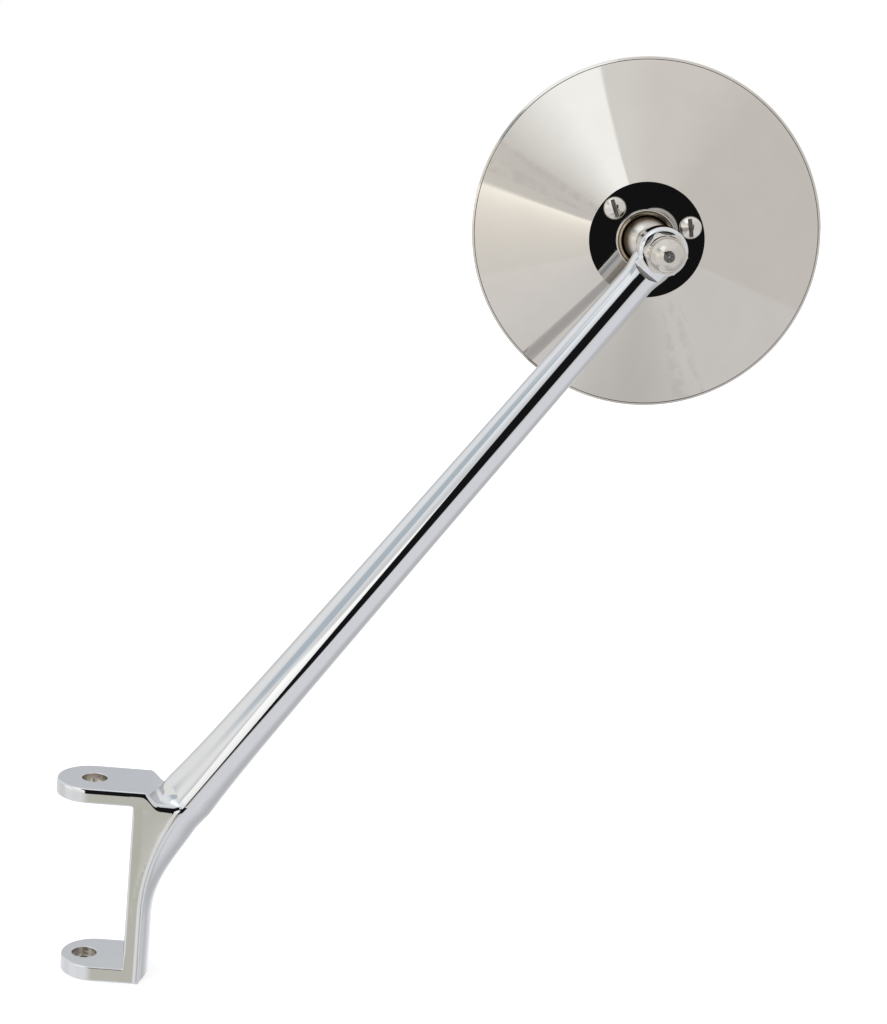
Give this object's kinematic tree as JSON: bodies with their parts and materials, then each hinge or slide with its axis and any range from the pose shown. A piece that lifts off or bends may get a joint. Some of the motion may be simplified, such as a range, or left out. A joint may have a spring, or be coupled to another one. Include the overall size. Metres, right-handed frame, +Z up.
{
  "type": "car side mirror",
  "caption": "Round side mirror on a long one-piece chromed arm whose two-eared bracket hangs on a door hinge pin; the head swivels on a ball.",
  "frame": {"origin": "on the hinge-pin axis, level with the top face of the lower ear", "axes": "+Z up along the hinge pin, +X from the pin towards the arm, +Y the way the mirror glass faces"},
  "size_m": [0.2578, 0.0928, 0.3381],
  "materials": {
    "chrome_casting": "bright chrome plate over a polished casting, with slight waviness",
    "polished_stainless": "bright polished stainless steel with fine turning and handling marks",
    "polished_shell": "mirror-polished spun stainless sheet",
    "zinc_steel": "zinc-plated steel, satin",
    "spring_steel": "oiled dark spring steel",
    "acetal": "natural white acetal",
    "clear_glass": "clear flat glass, polished",
    "silvering": "silvered mirror layer with a painted back",
    "foam_pad": "dark grey foam rubber",
    "black_rubber": "black rubber strip"
  },
  "bodies": {
    "bracket": {"arm_bracket": "chrome_casting", "lock_washer": "zinc_steel", "dome_nut": "polished_stainless"},
    "stud": {"ball_stud": "polished_stainless"},
    "swivel": {"ball_liner": "acetal"},
    "head": {"head_shell": "polished_shell", "rim_bezel": "polished_shell", "retainer_plate": "zinc_steel", "ball_seat": "acetal", "disc_spring": "spring_steel", "clamp_screw_1": "polished_stainless", "clamp_screw_2": "polished_stainless", "clamp_screw_3": "polished_stainless", "clinch_nut_1": "zinc_steel", "clinch_nut_2": "zinc_steel", "clinch_nut_3": "zinc_steel", "mirror_glass": "clear_glass", "mirror_silvering": "silvering", "glass_pad": "foam_pad", "glass_gasket": "black_rubber"}
  },
  "joints": [
    {"name": "stud_turn", "type": "hinge", "parent": "bracket", "child": "stud", "pos_m": [0.179, 0, 0.2691], "axis": [0, -1, 0], "continuous": true},
    {"name": "head_pan", "type": "hinge", "parent": "stud", "child": "swivel", "pos_m": [0.179, 0.0419, 0.2691], "axis": [0, -0.0087, 1], "range_deg": [-20, 30]},
    {"name": "head_tilt", "type": "hinge", "parent": "swivel", "child": "head", "pos_m": [0.179, 0.0419, 0.2691], "axis": [0.9951, -0.0993, -0.0009], "range_deg": [-25, 25]}
  ]
}
